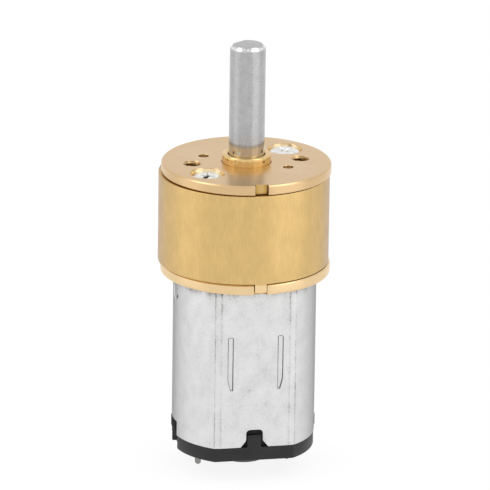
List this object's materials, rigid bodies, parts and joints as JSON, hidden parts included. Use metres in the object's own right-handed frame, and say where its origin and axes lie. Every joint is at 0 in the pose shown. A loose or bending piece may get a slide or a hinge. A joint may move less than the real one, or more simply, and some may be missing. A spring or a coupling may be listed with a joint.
{
  "type": "miniature metal gearmotor",
  "caption": "Miniature brushed DC gearmotor: round brass spur gearbox with a D-cut output shaft and threaded face mount on a flat-sided steel motor can.",
  "frame": {"origin": "on the output shaft's axis, in the gearbox's front mounting plane (the front plate's outer face)", "axes": "+Z out along the output shaft; X through the two threaded mounting holes and the two terminals; the motor can's flats face -Y and +Y"},
  "size_m": [0.0144, 0.0142, 0.0368],
  "materials": {
    "plate_brass": "pale brass, finely turned face, satin",
    "sleeve_brass": "drawn brass tube with fine lengthwise brushing",
    "bush_brass": "polished deep yellow brass",
    "gear_brass": "hobbed brass with a light film of grease",
    "shaft_steel": "ground steel, satin",
    "screw_steel": "bright nickel plating",
    "can_steel": "drawn sheet steel, satin zinc plating",
    "core_steel": "stacked steel laminations, dull",
    "black_plastic": "moulded charcoal plastic, fine matte texture",
    "white_nylon": "natural nylon, matte",
    "magnet": "sintered ferrite, dull dark grey",
    "copper": "copper, enamelled on the windings and bare on the commutator",
    "bronze": "sintered oil-filled bronze, matte",
    "terminal_metal": "tinned brass, satin"
  },
  "bodies": {
    "housing": {"front_plate": "plate_brass", "gearbox_sleeve": "sleeve_brass", "rear_plate": "plate_brass", "gearbox_screw_1": "screw_steel", "gearbox_screw_2": "screw_steel", "axle_pin_a": "shaft_steel", "axle_pin_b": "shaft_steel", "output_bush": "bush_brass", "motor_screw_1": "screw_steel", "motor_screw_2": "screw_steel", "motor_can": "can_steel", "front_bearing": "bronze", "rear_bearing": "bronze", "magnet_1": "magnet", "magnet_2": "magnet", "end_cap": "black_plastic", "brush_1": "copper", "brush_2": "copper", "terminal_1": "terminal_metal", "terminal_2": "terminal_metal"},
    "output": {"output_shaft": "shaft_steel", "output_gear": "gear_brass", "output_thrust_washer": "screw_steel"},
    "cluster_1": {"cluster_gear_1": "gear_brass"},
    "cluster_2": {"cluster_gear_2": "gear_brass"},
    "cluster_3": {"cluster_gear_3": "gear_brass"},
    "cluster_4": {"cluster_gear_4": "gear_brass"},
    "cluster_5": {"cluster_gear_5": "gear_brass"},
    "rotor": {"motor_pinion": "gear_brass", "motor_shaft": "shaft_steel", "armature_core": "core_steel", "armature_insulator_front": "white_nylon", "armature_insulator_rear": "white_nylon", "coil_1": "copper", "coil_2": "copper", "coil_3": "copper", "commutator_hub": "white_nylon", "commutator_segment_1": "copper", "commutator_segment_2": "copper", "commutator_segment_3": "copper", "rotor_washer_front": "white_nylon", "rotor_washer_rear": "white_nylon"}
  },
  "joints": [
    {"name": "output_spin", "type": "hinge", "parent": "housing", "child": "output", "pos_m": [0, 0, 0], "axis": [0, 0, 1], "continuous": true},
    {"name": "cluster_1_spin", "type": "hinge", "parent": "housing", "child": "cluster_1", "pos_m": [0.00311, -0.00218, 0], "axis": [0, 0, 1], "continuous": true},
    {"name": "cluster_2_spin", "type": "hinge", "parent": "housing", "child": "cluster_2", "pos_m": [0, 0, 0], "axis": [0, 0, 1], "continuous": true},
    {"name": "cluster_3_spin", "type": "hinge", "parent": "housing", "child": "cluster_3", "pos_m": [-0.00326, 0.00196, 0], "axis": [0, 0, 1], "continuous": true},
    {"name": "cluster_4_spin", "type": "hinge", "parent": "housing", "child": "cluster_4", "pos_m": [0, 0, 0], "axis": [0, 0, 1], "continuous": true},
    {"name": "cluster_5_spin", "type": "hinge", "parent": "housing", "child": "cluster_5", "pos_m": [0.00311, -0.00218, 0], "axis": [0, 0, 1], "continuous": true},
    {"name": "rotor_spin", "type": "hinge", "parent": "housing", "child": "rotor", "pos_m": [0, 0, 0], "axis": [0, 0, 1], "continuous": true}
  ],
  "couplings": [
    {"joint": "cluster_5_spin", "follows": "output_spin", "ratio": -2.1667},
    {"joint": "cluster_4_spin", "follows": "output_spin", "ratio": 4.6944},
    {"joint": "cluster_3_spin", "follows": "output_spin", "ratio": -10.171},
    {"joint": "cluster_2_spin", "follows": "output_spin", "ratio": 22.038},
    {"joint": "cluster_1_spin", "follows": "output_spin", "ratio": -47.749},
    {"joint": "rotor_spin", "follows": "output_spin", "ratio": 103.46}
  ]
}
